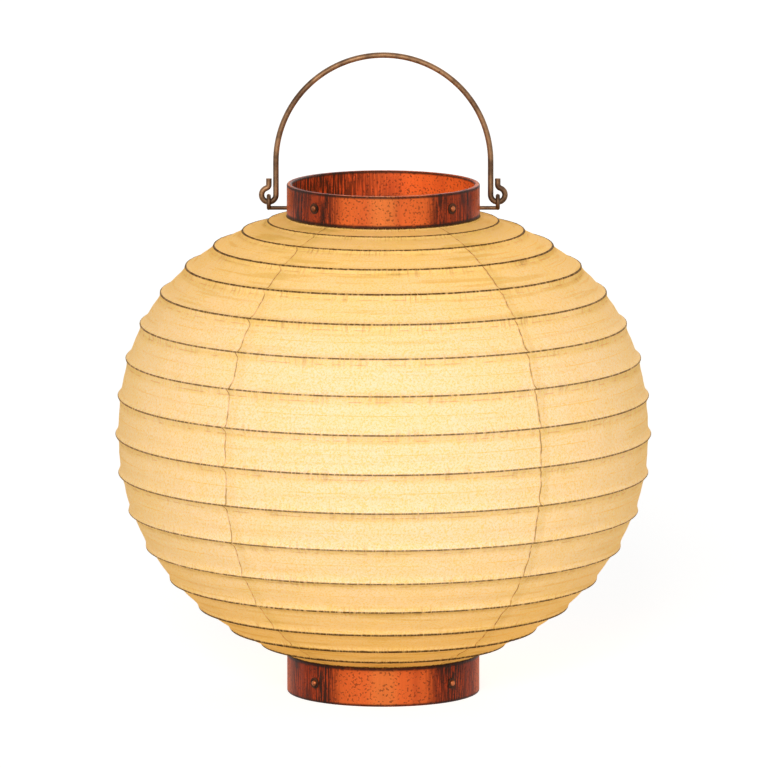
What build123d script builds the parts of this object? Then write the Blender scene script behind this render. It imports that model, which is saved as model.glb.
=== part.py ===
"""Round paper lantern (chochin) standing on its own lower collar, in millimetres, +Z up.

A globe of washi in five gores is pasted over sixteen bamboo hoops, between two lacquered
wooden collars. A wire bail hooks into two wire eyes on the upper collar. A candle stands on a
spike on the floor board of the lower collar. The globe folds flat: the upper collar comes
straight down, and each hoop comes down with it by its own share.
The origin is the centre of the lower collar's bottom rim. X runs through the two bail eyes.
"""

from itertools import accumulate, pairwise
from math import asin, copysign, cos, degrees, hypot, pi, radians, sin
import os

from build123d import *

os.makedirs("parts", exist_ok=True)

# Globe. Its outline over the hoop crests is a superellipse, fuller above than below.
globe_diameter = 303.0
globe_half_height = 132.2
globe_upper_fullness = 2.29
globe_lower_fullness = 2.04
outline_steps = 4000

# Hoops, paper and the threads that space the hoops. Panels get narrower towards both collars,
# and a little wider from the top of the globe to its bottom.
hoop_count = 16
hoop_width = 2.0
hoop_thickness = 1.2
upper_panel_taper = 0.45
lower_panel_taper = 0.35
panel_taper_power = 5.3
panel_growth = 0.10
panel_sag_share = 0.09
paper_thickness = 0.3
paper_clearance = 0.3
gore_count = 5
thread_diameter = 0.8
thread_inset = 3.5
thread_angle_past_seam = 1.5

# Collars and the hoops that hold the paper's two mouths in them
collar_diameter = 109.0
collar_wall = 3.0
upper_collar_height = 18.0
lower_collar_height = 22.0
rim_round = 1.0
paper_lip_height = 2.5
mouth_hoop_thickness = 2.0

# Nails and their washers
nail_count = 4
nail_first_angle = 45.0
nail_shank_diameter = 1.4
nail_head_diameter = 3.2
nail_head_height = 1.1
nail_head_round = 0.9
nail_point_length = 1.5
washer_diameter = 6.2
washer_thickness = 0.5
tack_depth = 2.4
floor_nail_depth = 9.0
drive_clearance = 0.05

# Floor board, drip pan and spike
board_thickness = 6.0
board_fit = 0.1
vent_count = 6
vent_diameter = 9.0
vent_circle_diameter = 66.0
pan_diameter = 36.0
pan_depth = 4.0
pan_sheet = 0.6
pan_flare = 3.0
spike_diameter = 3.2
spike_length = 20.0
spike_flange_diameter = 8.0
spike_flange_height = 1.2
spike_root_length = 5.0

# Candle
candle_height = 96.0
candle_foot_diameter = 15.0
candle_top_diameter = 20.0
candle_edge_round = 1.5
candle_seat_gap = 0.3
candle_bore_clearance = 0.4
wick_diameter = 4.0
wick_bore_diameter = 1.6
wick_length = 14.0
wick_seat_depth = 6.0

# Bail and its two eyes
wire_diameter = 3.2
bail_rise = 83.5
hook_radius = 4.05
hook_closing_angle = 70.0
hook_return_radius = 2.2
hook_tip_length = 3.4
eye_reach = 10.1
eye_loop_radius = 3.4
eye_wire_diameter = 2.4
eye_shank_diameter = 2.2
eye_shank_clearance = 0.4
eye_bend_radius = 1.5
eye_tail_length = 4.5
eye_tail_gap = 0.3

# Places that follow from the sizes above
globe_radius = globe_diameter / 2
collar_radius = collar_diameter / 2
collar_bore_radius = collar_radius - collar_wall
upper_share = 1 - (collar_radius / globe_radius) ** globe_upper_fullness
lower_share = 1 - (collar_radius / globe_radius) ** globe_lower_fullness
upper_junction_rise = globe_half_height * upper_share ** (1 / globe_upper_fullness)
lower_junction_rise = globe_half_height * lower_share ** (1 / globe_lower_fullness)
lower_junction = lower_collar_height
globe_centre = lower_junction + lower_junction_rise
upper_junction = globe_centre + upper_junction_rise
rim_top = upper_junction + upper_collar_height
inner_crest_radius = hypot(hoop_width, hoop_thickness) / 2 + paper_clearance
outer_crest_radius = inner_crest_radius + paper_thickness
lip_outer_radius = collar_bore_radius - paper_clearance
mouth_hoop_radius = lip_outer_radius - paper_thickness - paper_clearance
mouth_hoop_bore_radius = mouth_hoop_radius - mouth_hoop_thickness
gore_angle = 360 / gore_count
first_seam_angle = 270 - gore_angle / 2

upper_nail_height = upper_junction + upper_collar_height / 2
floor_nail_height = lower_collar_height / 2
board_bottom = floor_nail_height - board_thickness / 2
board_top = board_bottom + board_thickness
pan_floor = board_top + pan_sheet
candle_bottom = pan_floor + spike_flange_height + candle_seat_gap
candle_top = candle_bottom + candle_height

wire_radius = wire_diameter / 2
shank_height = upper_junction + paper_lip_height + eye_shank_clearance + eye_shank_diameter / 2
pivot_height = shank_height + eye_loop_radius
pivot_reach = collar_radius + eye_reach
bail_half_width = pivot_reach - hook_radius


def save(part, name):
    """Label a finished piece and write its STEP file."""
    part.label = name
    export_step(part, f"parts/{name}.step")


def outward(angle, height):
    """Plane on the lantern's axis at a height, which faces outwards at an angle."""
    direction = (cos(radians(angle)), sin(radians(angle)), 0)
    return Plane(origin=(0, 0, height), x_dir=(0, 0, 1), z_dir=direction)


# --- The globe's outline, in the plane of radius and height ---


def outline_point(rise):
    """Point of the outline over the hoop crests, at a height above the globe's centre."""
    fullness = globe_upper_fullness if rise > 0 else globe_lower_fullness
    share = 1 - (abs(rise) / globe_half_height) ** fullness
    return Vector(globe_radius * share ** (1 / fullness), globe_centre + rise)


def outline_normal(rise):
    """Outward direction of the outline, at a height above the globe's centre."""
    fullness = globe_upper_fullness if rise > 0 else globe_lower_fullness
    across = (outline_point(rise).X / globe_radius) ** (fullness - 1) / globe_radius
    along = (abs(rise) / globe_half_height) ** (fullness - 1) / globe_half_height
    return Vector(across, copysign(along, rise)).normalized()


def panel_widths():
    """Relative widths of the paper panels, from the upper collar to the lower one."""
    middle = hoop_count / 2
    widths = []
    for index in range(hoop_count + 1):
        place = (index - middle) / middle
        taper = upper_panel_taper if place < 0 else lower_panel_taper
        widths.append((1 + panel_growth * place) * (1 - taper * abs(place) ** panel_taper_power))
    return widths


def hoop_rises():
    """Heights of the hoops above the globe's centre, top first, spaced along the outline."""
    middle = (upper_junction_rise - lower_junction_rise) / 2
    reach = (upper_junction_rise + lower_junction_rise) / 2
    rises = [middle + reach * cos(pi * step / outline_steps) for step in range(outline_steps + 1)]
    points = [outline_point(rise) for rise in rises]
    runs = list(accumulate((after - before).length for before, after in pairwise(points)))
    ends = list(accumulate(panel_widths()))
    shares = [end / ends[-1] for end in ends[:-1]]
    return [rises[next(i for i, run in enumerate(runs, 1) if run >= share * runs[-1])] for share in shares]


rises = hoop_rises()
normals = [outline_normal(rise) for rise in rises]
hoop_centres = [
    outline_point(rise) - normal * outer_crest_radius for rise, normal in zip(rises, normals)
]
# The paper also turns over the corner of each collar, as if over a hoop there.
upper_corner = Vector(collar_radius, upper_junction - paper_clearance - outer_crest_radius)
lower_corner = Vector(collar_radius, lower_junction + paper_clearance + outer_crest_radius)
folds = [upper_corner, *hoop_centres, lower_corner]


def sag_centre(fold, next_fold):
    """Centre of a panel's hollow arc, and its distance from the two folds' centres."""
    chord = next_fold - fold
    sag = panel_sag_share * chord.length
    reach = (sag**2 + (chord.length / 2) ** 2) / (2 * sag)
    away = Vector(-chord.Y, chord.X).normalized()
    return (fold + next_fold) / 2 + away * (reach - sag), reach


def paper_skin(crest_radius, lip_radius):
    """Draw one face of the paper, from its upper lip to its lower lip, in the open BuildLine."""
    hollows = [sag_centre(fold, next_fold) for fold, next_fold in pairwise(folds)]
    for (fold, next_fold), (centre, reach) in zip(pairwise(folds), hollows):
        start = fold + (centre - fold).normalized() * crest_radius
        end = next_fold + (centre - next_fold).normalized() * crest_radius
        lowest = centre - ((centre - start) + (centre - end)).normalized() * (reach - crest_radius)
        ThreePointArc(start, lowest, end)
    ways = [(centre - fold).normalized() for fold, (centre, _) in zip(folds, hollows)]
    ways_back = [(centre - fold).normalized() for fold, (centre, _) in zip(folds[1:], hollows)]
    for fold, way_back, way in zip(folds[1:-1], ways_back, ways[1:]):
        crest = fold + (way_back + way).normalized() * crest_radius
        ThreePointArc(fold + way_back * crest_radius, crest, fold + way * crest_radius)
    for fold, way, up in ((upper_corner, ways[0], 1), (lower_corner, ways_back[-1], -1)):
        top_way = Vector(0, up)
        turn = fold + (top_way + way).normalized() * crest_radius
        top = fold + top_way * crest_radius
        lip_end = Vector(lip_radius, (upper_junction if up > 0 else lower_junction) + up * paper_lip_height)
        ThreePointArc(fold + way * crest_radius, turn, top)
        Polyline(top, Vector(lip_radius, top.Y), lip_end)


# --- Paper gores, seams face to face; the first seam is half a gore to the left of the front ---
for index in range(gore_count):
    with BuildPart() as paper_gore:
        seam_plane = Plane.XZ.rotated((0, 0, first_seam_angle + index * gore_angle))
        with BuildSketch(seam_plane):
            with BuildLine():
                paper_skin(outer_crest_radius, lip_outer_radius)
                paper_skin(inner_crest_radius, lip_outer_radius - paper_thickness)
                for lip_top in (upper_junction + paper_lip_height, lower_junction - paper_lip_height):
                    Line((lip_outer_radius, lip_top), (lip_outer_radius - paper_thickness, lip_top))
            make_face()
        revolve(axis=Axis.Z, revolution_arc=gore_angle)
    save(paper_gore.part, f"paper_gore_{index + 1}")

# --- Bamboo hoops, each split strip lying flat under its crest ---
for number, (centre, normal) in enumerate(zip(hoop_centres, normals), 1):
    with BuildPart() as hoop:
        with BuildSketch(Plane.XZ):
            with Locations(centre):
                Rectangle(hoop_thickness, hoop_width, rotation=degrees(asin(normal.Y)))
        revolve(axis=Axis.Z)
    save(hoop.part, f"hoop_{number:02d}")

# --- Threads that run down inside the hoops, one beside each seam ---
thread_start = Vector(mouth_hoop_radius - mouth_hoop_thickness / 2, upper_junction - thread_diameter)
thread_end = Vector(thread_start.X, lower_junction + thread_diameter)
inner_points = [outline_point(rise) - normal * thread_inset for rise, normal in zip(rises, normals)]
with BuildPart() as one_thread:
    with BuildSketch(Plane.XZ):
        with BuildLine():
            Polyline(thread_start, *inner_points, thread_end)
        trace(line_width=thread_diameter)
    extrude(amount=thread_diameter / 2, both=True)
with BuildPart() as spacing_threads:
    with PolarLocations(0, gore_count, start_angle=first_seam_angle + thread_angle_past_seam):
        add(one_thread.part)
save(spacing_threads.part, "spacing_threads")


# --- Collars ---


def nail_places(height):
    """Planes that face outwards at each nail."""
    return [outward(nail_first_angle + index * 360 / nail_count, height) for index in range(nail_count)]


def drill(places, diameter, depth_from_outside):
    """Cut blind or through holes into the open part, from the collar's outside."""
    with Locations(*[place.offset(collar_radius - depth_from_outside) for place in places]):
        Cylinder(
            diameter / 2,
            depth_from_outside + collar_wall,
            align=(Align.CENTER, Align.CENTER, Align.MIN),
            mode=Mode.SUBTRACT,
        )


nail_hole_diameter = nail_shank_diameter + 2 * drive_clearance
shank_hole_diameter = eye_shank_diameter + 2 * drive_clearance
eye_places = [outward(0, shank_height), outward(180, shank_height)]

with BuildPart() as upper_collar:
    with BuildSketch(Plane.XZ):
        with Locations((collar_radius - collar_wall / 2, upper_junction + upper_collar_height / 2)):
            Rectangle(collar_wall, upper_collar_height)
    revolve(axis=Axis.Z)
    fillet(upper_collar.edges().group_by(Axis.Z)[-1], rim_round)
    drill(nail_places(upper_nail_height), nail_hole_diameter, tack_depth + drive_clearance)
    drill(eye_places, shank_hole_diameter, 2 * collar_wall)
save(upper_collar.part, "upper_collar")

with BuildPart() as lower_collar:
    with BuildSketch(Plane.XZ):
        with Locations((collar_radius - collar_wall / 2, lower_collar_height / 2)):
            Rectangle(collar_wall, lower_collar_height)
    revolve(axis=Axis.Z)
    fillet(lower_collar.edges().group_by(Axis.Z)[0], rim_round)
    drill(nail_places(floor_nail_height), nail_hole_diameter, 2 * collar_wall)
save(lower_collar.part, "lower_collar")

mouth_hoops = {
    "upper_mouth_hoop": upper_junction + paper_lip_height / 2,
    "lower_mouth_hoop": lower_junction - paper_lip_height / 2,
}
for name, middle in mouth_hoops.items():
    with BuildPart() as mouth_hoop:
        with BuildSketch(Plane.XZ):
            with Locations((mouth_hoop_radius - mouth_hoop_thickness / 2, middle)):
                Rectangle(mouth_hoop_thickness, paper_lip_height)
        revolve(axis=Axis.Z)
    save(mouth_hoop.part, name)

# --- Nails and washers, modelled pointing up and then set round the collar ---


def nail_set(depth, height):
    """Round-headed nails driven through their washers, to a depth below the collar's outside."""
    shank_radius = nail_shank_diameter / 2
    head_radius = nail_head_diameter / 2
    head_top = washer_thickness + nail_head_height
    with BuildPart() as nail:
        with BuildSketch(Plane.XZ):
            with BuildLine():
                Polyline(
                    (0, head_top),
                    (0, -depth),
                    (shank_radius, nail_point_length - depth),
                    (shank_radius, washer_thickness),
                    (head_radius, washer_thickness),
                    (head_radius, head_top),
                    close=True,
                )
            make_face()
        revolve(axis=Axis.Z)
        fillet(nail.edges().filter_by(GeomType.CIRCLE).group_by(Axis.Z)[-1], nail_head_round)
    with BuildPart() as nails:
        with Locations(*[place.offset(collar_radius) for place in nail_places(height)]):
            add(nail.part)
    return nails.part


def washer_set(height):
    """Flat washers under the nail heads."""
    with BuildPart() as washers:
        with Locations(*[place.offset(collar_radius) for place in nail_places(height)]):
            Cylinder(
                washer_diameter / 2, washer_thickness, align=(Align.CENTER, Align.CENTER, Align.MIN)
            )
            Cylinder(
                nail_hole_diameter / 2,
                washer_thickness,
                align=(Align.CENTER, Align.CENTER, Align.MIN),
                mode=Mode.SUBTRACT,
            )
    return washers.part


save(nail_set(tack_depth, upper_nail_height), "upper_collar_tacks")
save(washer_set(upper_nail_height), "upper_tack_washers")
save(nail_set(floor_nail_depth, floor_nail_height), "floor_nails")
save(washer_set(floor_nail_height), "floor_nail_washers")

# --- Floor board with its vents, drip pan and spike ---
with BuildPart() as floor_board:
    with BuildSketch(Plane.XY.offset(board_bottom)):
        Circle(collar_bore_radius - board_fit)
        with PolarLocations(vent_circle_diameter / 2, vent_count):
            Circle(vent_diameter / 2, mode=Mode.SUBTRACT)
    extrude(amount=board_thickness)
    with Locations((0, 0, board_top)):
        Hole(spike_diameter / 2 + drive_clearance, depth=spike_root_length + drive_clearance)
    drill(nail_places(floor_nail_height), nail_hole_diameter, floor_nail_depth + drive_clearance)
save(floor_board.part, "floor_board")

with BuildPart() as drip_pan:
    with BuildSketch(Plane.XZ):
        with BuildLine():
            Polyline(
                (spike_diameter / 2 + drive_clearance, board_top + pan_sheet / 2),
                (pan_diameter / 2 - pan_flare, board_top + pan_sheet / 2),
                (pan_diameter / 2, board_top + pan_depth),
            )
        trace(line_width=pan_sheet)
    revolve(axis=Axis.Z)
save(drip_pan.part, "drip_pan")

with BuildPart() as candle_spike:
    with BuildSketch(Plane.XZ):
        with BuildLine():
            Polyline(
                (0, board_top - spike_root_length),
                (spike_diameter / 2, board_top - spike_root_length),
                (spike_diameter / 2, pan_floor),
                (spike_flange_diameter / 2, pan_floor),
                (spike_flange_diameter / 2, pan_floor + spike_flange_height),
                (spike_diameter / 2, pan_floor + spike_flange_height),
                (0, pan_floor + spike_flange_height + spike_length),
                close=True,
            )
        make_face()
    revolve(axis=Axis.Z)
save(candle_spike.part, "candle_spike")

# --- Candle, wider at its top, hollow at its foot for the spike ---
bore_radius = spike_diameter / 2 + candle_bore_clearance
bore_depth = spike_length + candle_seat_gap + candle_bore_clearance
with BuildPart() as candle:
    with BuildSketch(Plane.XZ):
        with BuildLine():
            Polyline(
                (0, candle_bottom),
                (candle_foot_diameter / 2, candle_bottom),
                (candle_top_diameter / 2, candle_top),
                (0, candle_top),
                close=True,
            )
        make_face()
    revolve(axis=Axis.Z)
    fillet(candle.edges().filter_by(GeomType.CIRCLE).group_by(Axis.Z)[-1], candle_edge_round)
    with Locations((0, 0, candle_top)):
        Hole(wick_diameter / 2 + drive_clearance, depth=wick_seat_depth)
    with Locations((0, 0, candle_bottom)):
        Cone(
            bore_radius,
            candle_bore_clearance,
            bore_depth,
            align=(Align.CENTER, Align.CENTER, Align.MIN),
            mode=Mode.SUBTRACT,
        )
save(candle.part, "candle")

with BuildPart() as wick:
    with BuildSketch(Plane.XY.offset(candle_top - wick_seat_depth)):
        Circle(wick_diameter / 2)
        Circle(wick_bore_diameter / 2, mode=Mode.SUBTRACT)
    extrude(amount=wick_length)
save(wick.part, "candle_wick")

# --- Bail: half of it from the top of the arch to the hook's tip, mirrored ---
with BuildPart() as bail:
    with BuildLine(Plane.XZ) as half_bail:
        arch = JernArc((0, pivot_height + bail_rise), (1, 0), bail_half_width, -90)
        leg = Line(arch @ 1, (bail_half_width, pivot_height + hook_radius))
        hook = JernArc(leg @ 1, (0, -1), hook_radius, 180 + hook_closing_angle)
        closing = (-sin(radians(hook_closing_angle)), cos(radians(hook_closing_angle)))
        hook_return = JernArc(hook @ 1, closing, hook_return_radius, -hook_closing_angle)
        Line(hook_return @ 1, hook_return @ 1 + Vector(0, 0, hook_tip_length))
    with BuildSketch(Plane(half_bail.line @ 0, z_dir=(1, 0, 0))):
        Circle(wire_radius)
    sweep()
    mirror(about=Plane.YZ)
save(bail.part, "bail")

# --- Bail eyes: a loop, a shank through the collar, and a tail turned up against the inside ---
tail_reach = collar_bore_radius - eye_tail_gap - eye_shank_diameter / 2
for side, name in ((-1, "bail_eye_left"), (1, "bail_eye_right")):
    with BuildPart() as bail_eye:
        with Locations(Location((side * pivot_reach, 0, pivot_height), (0, 90, 0))):
            Torus(eye_loop_radius, eye_wire_diameter / 2)
        with BuildLine(Plane.XZ) as shank_line:
            shank = Line(
                (side * pivot_reach, shank_height), (side * (tail_reach + eye_bend_radius), shank_height)
            )
            bend = JernArc(shank @ 1, (-side, 0), eye_bend_radius, -side * 90)
            Line(bend @ 1, bend @ 1 + Vector(0, 0, eye_tail_length))
        with BuildSketch(Plane(shank_line.line @ 0, z_dir=(-side, 0, 0))):
            Circle(eye_shank_diameter / 2)
        sweep()
    save(bail_eye.part, name)
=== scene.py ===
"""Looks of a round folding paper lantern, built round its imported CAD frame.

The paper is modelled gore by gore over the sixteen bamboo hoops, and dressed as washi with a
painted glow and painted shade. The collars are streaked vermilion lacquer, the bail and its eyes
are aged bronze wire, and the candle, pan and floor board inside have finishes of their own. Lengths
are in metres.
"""

from __future__ import annotations

import logging
import math
from dataclasses import dataclass
from enum import Enum
from functools import partial, reduce
from typing import Callable, Sequence

import bpy
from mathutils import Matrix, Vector, noise


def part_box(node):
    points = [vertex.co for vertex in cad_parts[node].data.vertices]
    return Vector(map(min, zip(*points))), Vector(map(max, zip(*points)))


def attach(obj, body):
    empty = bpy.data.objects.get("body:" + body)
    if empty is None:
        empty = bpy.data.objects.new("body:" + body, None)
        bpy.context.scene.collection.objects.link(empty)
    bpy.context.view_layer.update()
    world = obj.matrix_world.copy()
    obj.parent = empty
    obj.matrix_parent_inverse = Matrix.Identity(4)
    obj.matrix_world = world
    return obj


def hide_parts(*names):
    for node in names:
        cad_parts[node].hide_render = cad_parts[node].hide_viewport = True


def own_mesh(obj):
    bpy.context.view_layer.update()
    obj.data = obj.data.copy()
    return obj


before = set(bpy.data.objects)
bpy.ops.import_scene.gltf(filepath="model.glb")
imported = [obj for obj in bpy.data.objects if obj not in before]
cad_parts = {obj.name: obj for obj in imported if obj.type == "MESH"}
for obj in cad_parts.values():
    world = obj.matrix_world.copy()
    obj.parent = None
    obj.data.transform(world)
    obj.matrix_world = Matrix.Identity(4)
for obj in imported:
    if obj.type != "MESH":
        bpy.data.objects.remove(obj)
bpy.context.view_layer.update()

LOG = logging.getLogger("lantern")
MILLIMETRE = 0.001
FRONT_ANGLE = 270
LIP_ROWS = 2
WHITE = (1.0, 1.0, 1.0)

Colour = tuple[float, float, float]
Scale = tuple[float, float, float]
Span = tuple[float, float]
Material = bpy.types.Material
Node = bpy.types.Node
Piece = bpy.types.Object
Socket = bpy.types.NodeSocket
Tree = bpy.types.NodeTree


class Body(Enum):
    """CAD body that the new pieces ride on."""

    BASE = "base"


class Slot(Enum):
    """Material slots of the record, one for each kind of new piece."""

    WASHI = "washi"
    THREAD = "thread"


# --- Shader graphs ---


class Graph:
    """A node tree with short calls for the nodes that the finishes use."""

    def __init__(self, tree: Tree) -> None:
        """Take over a tree and empty it.

        Args:
            tree: The node tree of a material, world or group.
        """
        self.tree = tree
        tree.nodes.clear()

    def node(self, kind: str, **settings: object) -> Node:
        """Add a node.

        Args:
            kind: The node's type name, such as "ShaderNodeMath".
            settings: Properties to set on it.

        Returns:
            The new node.
        """
        made = self.tree.nodes.new(kind)
        for name, value in settings.items():
            setattr(made, name, value)
        return made

    def feed(self, socket: Socket, value: object) -> None:
        """Link a socket to an output, or set its plain value.

        Args:
            socket: The input to feed.
            value: An output socket, a number, or a sequence for a colour or vector.
        """
        if isinstance(value, Socket):
            self.tree.links.new(value, socket)
        elif isinstance(value, (tuple, list)) and socket.type == "RGBA" and len(value) == 3:
            socket.default_value = (*value, 1.0)
        else:
            socket.default_value = value

    def math(self, operation: str, *values: object, clamp: bool = False) -> Socket:
        """Add a Math node and return its output.

        Args:
            operation: The node's operation, such as "MULTIPLY".
            values: Outputs or numbers for its inputs, in order.
            clamp: Whether the result is kept between 0 and 1.

        Returns:
            The result's socket.
        """
        made = self.node("ShaderNodeMath", operation=operation, use_clamp=clamp)
        for socket, value in zip(made.inputs, values):
            self.feed(socket, value)
        return made.outputs[0]

    def mix(self, share: object, first: object, second: object) -> Socket:
        """Mix two colours and return the mixed colour's socket.

        Args:
            share: How much of the second colour shows, from 0 to 1.
            first: Colour or output shown at 0.
            second: Colour or output shown at 1.
        """
        made = self.node("ShaderNodeMix", data_type="RGBA")
        self.feed(made.inputs["Factor"], share)
        self.feed(made.inputs[6], first)
        self.feed(made.inputs[7], second)
        return made.outputs[2]

    def times(self, first: object, second: object) -> Socket:
        """Multiply two values."""
        return self.math("MULTIPLY", first, second)

    def plus(self, first: object, second: object) -> Socket:
        """Add two values."""
        return self.math("ADD", first, second)

    def minus(self, first: object, second: object) -> Socket:
        """Subtract the second value from the first."""
        return self.math("SUBTRACT", first, second)

    def weighted(self, parts: Sequence[tuple[object, float]]) -> Socket:
        """Add values up, each times its weight, in order."""
        scaled = [self.times(value, weight) for value, weight in parts]
        return reduce(self.plus, scaled)

    def ramp(self, value: object, low: float, high: float) -> Socket:
        """Ease a value's range from low to high onto 0 to 1, kept inside it.

        Args:
            value: The value to map.
            low: What becomes 0. It may be larger than high, which turns the ramp round.
            high: What becomes 1.

        Returns:
            The mapped value's socket.
        """
        made = self.node("ShaderNodeMapRange", clamp=True, interpolation_type="SMOOTHSTEP")
        for name, number in (("From Min", low), ("From Max", high)):
            made.inputs[name].default_value = number
        self.feed(made.inputs["Value"], value)
        return made.outputs["Result"]

    def noise(
        self, vector: object, scale: float, detail: float = 2.0, rough: float = 0.5
    ) -> Socket:
        """Add a Noise Texture and return its value.

        Args:
            vector: Where it is read.
            scale: Its scale, per metre on Object coordinates.
            detail: Its octaves.
            rough: How strong the finer octaves are.
        """
        made = self.node("ShaderNodeTexNoise")
        self.feed(made.inputs["Vector"], vector)
        made.inputs["Scale"].default_value = scale
        made.inputs["Detail"].default_value = detail
        made.inputs["Roughness"].default_value = rough
        return made.outputs[0]

    def scaled(self, vector: object, scale: Sequence[float]) -> Socket:
        """Scale a vector along X, Y and Z by a Mapping node, and return it."""
        made = self.node("ShaderNodeMapping")
        self.feed(made.inputs["Vector"], vector)
        made.inputs["Scale"].default_value = scale
        return made.outputs[0]

    def split(self, vector: object) -> bpy.types.bpy_prop_collection:
        """Split a vector into outputs named X, Y and Z."""
        made = self.node("ShaderNodeSeparateXYZ")
        self.feed(made.inputs[0], vector)
        return made.outputs

    def strokes(
        self, vector: object, stretch: Scale, detail: float = 2.0, rough: float = 0.5
    ) -> Socket:
        """Add a noise with its own scale along X, Y and Z, per metre, and return its value."""
        return self.noise(self.scaled(vector, stretch), 1.0, detail, rough)

    def layered(self, base: object, layers: Sequence[tuple[object, float, object]]) -> Socket:
        """Lay colours over a base and return the finished colour's socket.

        Args:
            base: The colour underneath.
            layers: The mask, strength and colour of each layer, from the lowest up.
        """
        for mask, strength, tint in layers:
            share = mask if strength == 1.0 else self.times(mask, strength)
            base = self.mix(share, base, tint)
        return base

    def group(self, tree: Tree, **values: object) -> Node:
        """Place a node group and feed its named inputs.

        Args:
            tree: The group's tree.
            values: Values for its inputs, with spaces in their names written as underscores.

        Returns:
            The group's node.
        """
        made = self.node("ShaderNodeGroup", node_tree=tree)
        for name, value in values.items():
            self.feed(made.inputs[name.replace("_", " ")], value)
        return made


def new_group(
    name: str, inputs: Sequence[tuple[str, str, object]], outputs: Sequence[tuple[str, str]]
) -> tuple[Graph, Node, Node]:
    """Start a shader node group with named sockets.

    Args:
        name: The group's name.
        inputs: Name, socket type and default value of each input.
        outputs: Name and socket type of each output.

    Returns:
        The graph, its Group Input node and its Group Output node.
    """
    tree = bpy.data.node_groups.new(name, "ShaderNodeTree")
    for label, kind, value in inputs:
        socket = tree.interface.new_socket(label, in_out="INPUT", socket_type=kind)
        if value is not None:
            socket.default_value = value
    for label, kind in outputs:
        tree.interface.new_socket(label, in_out="OUTPUT", socket_type=kind)
    graph = Graph(tree)
    return graph, graph.node("NodeGroupInput"), graph.node("NodeGroupOutput")


FLOAT, VECTOR = "NodeSocketFloat", "NodeSocketVector"
SPECK_THRESHOLD = 0.82
SPECK_THRESHOLD_RANGE = 0.3
SPECK_SHARPNESS = 14.0
BAND_CORE = 0.35


def build_wrap_group() -> Tree:
    """Build the group that unrolls a turned piece into (length round it, 0, height)."""
    graph, source, sink = new_group(
        "unroll_round_axis",
        [("Vector", VECTOR, None), ("Radius", FLOAT, 0.05)],
        [("Vector", VECTOR), ("Reach", FLOAT), ("Turn", FLOAT)],
    )
    at = graph.split(source.outputs["Vector"])
    angle = graph.math("ARCTAN2", at["Y"], at["X"])
    length = graph.times(angle, source.outputs["Radius"])
    across = graph.times(at["X"], at["X"])
    deep = graph.times(at["Y"], at["Y"])
    joined = graph.node("ShaderNodeCombineXYZ")
    graph.feed(joined.inputs["X"], length)
    graph.feed(joined.inputs["Z"], at["Z"])
    graph.feed(sink.inputs["Vector"], joined.outputs[0])
    graph.feed(sink.inputs["Turn"], angle)
    graph.feed(sink.inputs["Reach"], graph.math("SQRT", graph.plus(across, deep)))
    return graph.tree


def build_speckle_group() -> Tree:
    """Build the group that scatters small specks. Density runs from 0, none, to 1, many."""
    graph, source, sink = new_group(
        "fine_specks",
        [("Vector", VECTOR, None), ("Scale", FLOAT, 900.0), ("Density", FLOAT, 0.4)],
        [("Mask", FLOAT)],
    )
    texture = graph.node("ShaderNodeTexNoise")
    graph.feed(texture.inputs["Vector"], source.outputs["Vector"])
    graph.feed(texture.inputs["Scale"], source.outputs["Scale"])
    texture.inputs["Detail"].default_value = 1.0
    lowered = graph.times(source.outputs["Density"], SPECK_THRESHOLD_RANGE)
    above = graph.minus(texture.outputs[0], graph.minus(SPECK_THRESHOLD, lowered))
    graph.feed(sink.inputs["Mask"], graph.math("MULTIPLY", above, SPECK_SHARPNESS, clamp=True))
    return graph.tree


def build_band_group() -> Tree:
    """Build the group that marks a soft band: 1 at its middle, 0 past its half width."""
    graph, source, sink = new_group(
        "soft_band",
        [("Value", FLOAT, 0.0), ("Middle", FLOAT, 0.0), ("Half Width", FLOAT, 0.1)],
        [("Mask", FLOAT)],
    )
    away = graph.minus(source.outputs["Value"], source.outputs["Middle"])
    share = graph.math("DIVIDE", graph.math("ABSOLUTE", away), source.outputs["Half Width"])
    graph.feed(sink.inputs["Mask"], graph.ramp(share, 1.0, BAND_CORE))
    return graph.tree


@dataclass(frozen=True)
class SharedGroups:
    """Node groups that the finishes share."""

    wrap: Tree
    specks: Tree
    band: Tree

    def soft_band(self, graph: Graph, value: object, middle: float, half_width: object) -> Socket:
        """Place the soft band round a value and return its mask."""
        made = graph.group(self.band, Value=value, Middle=middle, Half_Width=half_width)
        return made.outputs[0]

    def fine_specks(self, graph: Graph, vector: object, scale: float, density: float) -> Socket:
        """Place the fine specks and return their mask."""
        return graph.group(self.specks, Vector=vector, Scale=scale, Density=density).outputs[0]


def new_material(name: str) -> tuple[Material, Graph, Node, Socket]:
    """Start a material with a Principled BSDF.

    Args:
        name: The material's name.

    Returns:
        The material, its graph, the Principled BSDF and the Object coordinates' socket.
    """
    material = bpy.data.materials.new(name)
    material.use_nodes = True
    graph = Graph(material.node_tree)
    shader = graph.node("ShaderNodeBsdfPrincipled")
    output = graph.node("ShaderNodeOutputMaterial")
    graph.feed(output.inputs["Surface"], shader.outputs[0])
    places = graph.node("ShaderNodeTexCoord")
    return material, graph, shader, places.outputs["Object"]


def add_bump(
    graph: Graph, shader: Node, height: object, distance: float, strength: float
) -> None:
    """Give a shader a bump from a height value.

    Args:
        graph: The material's graph.
        shader: Its Principled BSDF.
        height: The height's socket, from 0 to 1.
        distance: The depth of the relief, in metres.
        strength: How strongly it shows.
    """
    bump = graph.node("ShaderNodeBump")
    bump.inputs["Distance"].default_value = distance
    bump.inputs["Strength"].default_value = strength
    graph.feed(bump.inputs["Height"], height)
    graph.feed(shader.inputs["Normal"], bump.outputs[0])


# --- Finishes ---


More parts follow.
